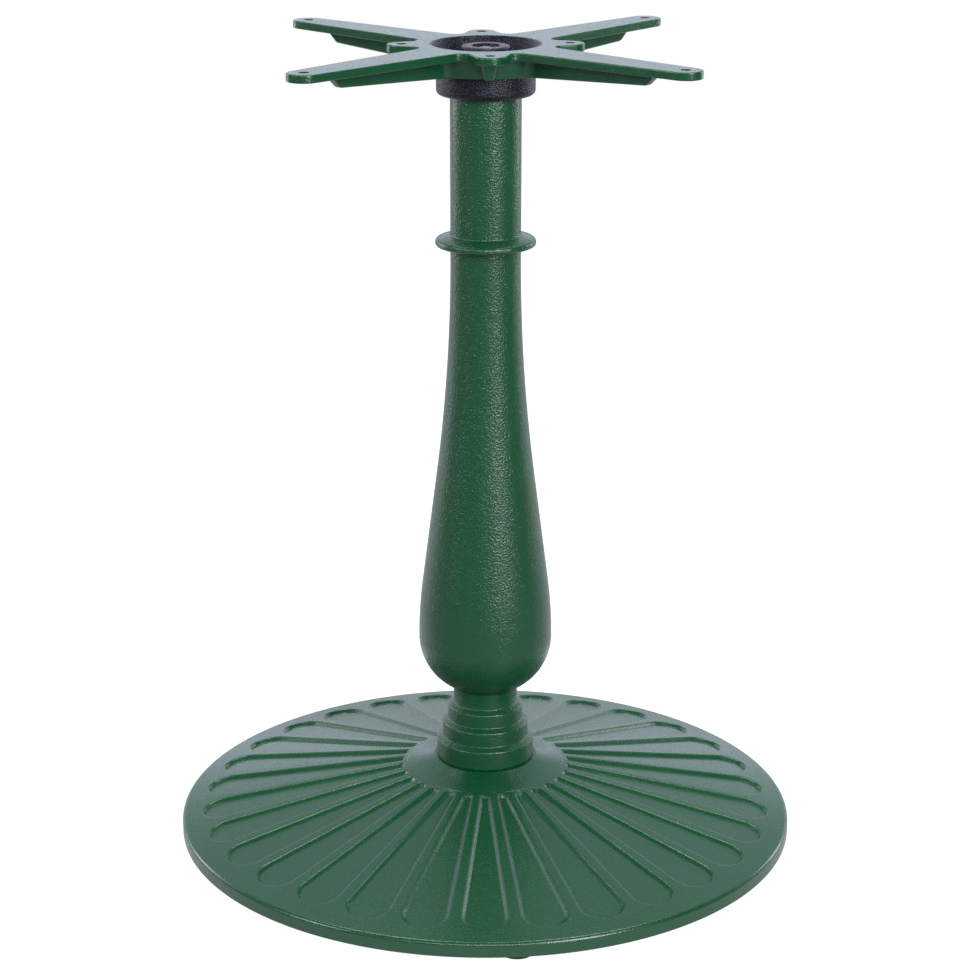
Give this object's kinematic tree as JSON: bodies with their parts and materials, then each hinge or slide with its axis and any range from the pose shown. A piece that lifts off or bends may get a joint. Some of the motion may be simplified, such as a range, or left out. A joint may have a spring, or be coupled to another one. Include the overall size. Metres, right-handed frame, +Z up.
{
  "type": "pedestal table base",
  "caption": "Pedestal table base: fluted round cast plate, baluster column with a flange ring, and a four-armed spider with drilled arms and lugs that carries the table top.",
  "frame": {"origin": "on the floor, under the column's axis", "axes": "+Z up along the column; the spider's arms lie on the diagonals between X and Y; the picture was taken from the -Y side"},
  "size_m": [0.5556, 0.5556, 0.72],
  "materials": {
    "green_coat": "dark green gloss powder coat with a fine orange-peel grain",
    "black_coat": "black textured powder coat",
    "zinc_steel": "zinc plated",
    "black_nylon": "moulded nylon"
  },
  "bodies": {
    "root": {"base_plate": "green_coat", "column": "green_coat", "spider": "green_coat", "top_collar": "black_coat", "clamp_dish": "black_coat", "tie_rod": "zinc_steel", "upper_nut": "zinc_steel", "lower_washer": "zinc_steel", "spring_washer": "zinc_steel", "lower_nut": "zinc_steel", "glide_1": "black_nylon", "glide_2": "black_nylon", "glide_3": "black_nylon", "glide_4": "black_nylon", "glide_screws": "zinc_steel"}
  },
  "joints": []
}
